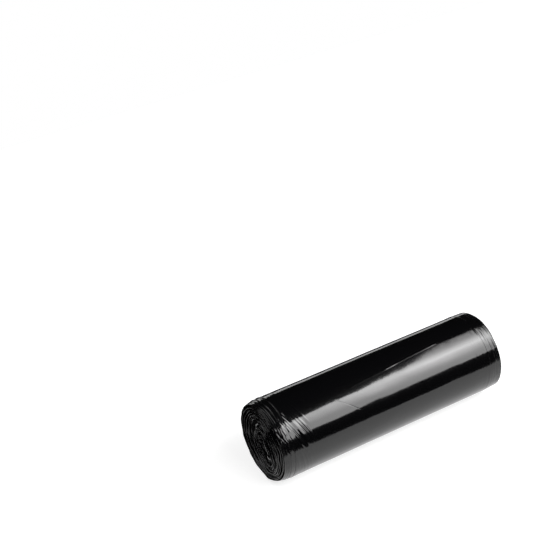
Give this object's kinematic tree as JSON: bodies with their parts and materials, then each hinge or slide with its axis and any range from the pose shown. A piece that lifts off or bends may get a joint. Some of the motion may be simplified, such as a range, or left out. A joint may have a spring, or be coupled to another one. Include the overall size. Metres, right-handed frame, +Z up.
{
  "type": "bin bag roll",
  "caption": "Roll of folded black refuse sacks lying on its side, wound without a core, with open swirled turns and a collapsed slot at both ends.",
  "frame": {"origin": "on the flat spot under the middle of the roll, at the bottom centre of its box", "axes": "+X along the roll, +Y across it towards the side with the last sack's free edge, +Z up"},
  "size_m": [0.25, 0.079, 0.0775],
  "materials": {
    "black_film": "glossy blown polythene film, black through its thickness"
  },
  "bodies": {
    "root": {"film_roll": "black_film"}
  },
  "joints": []
}
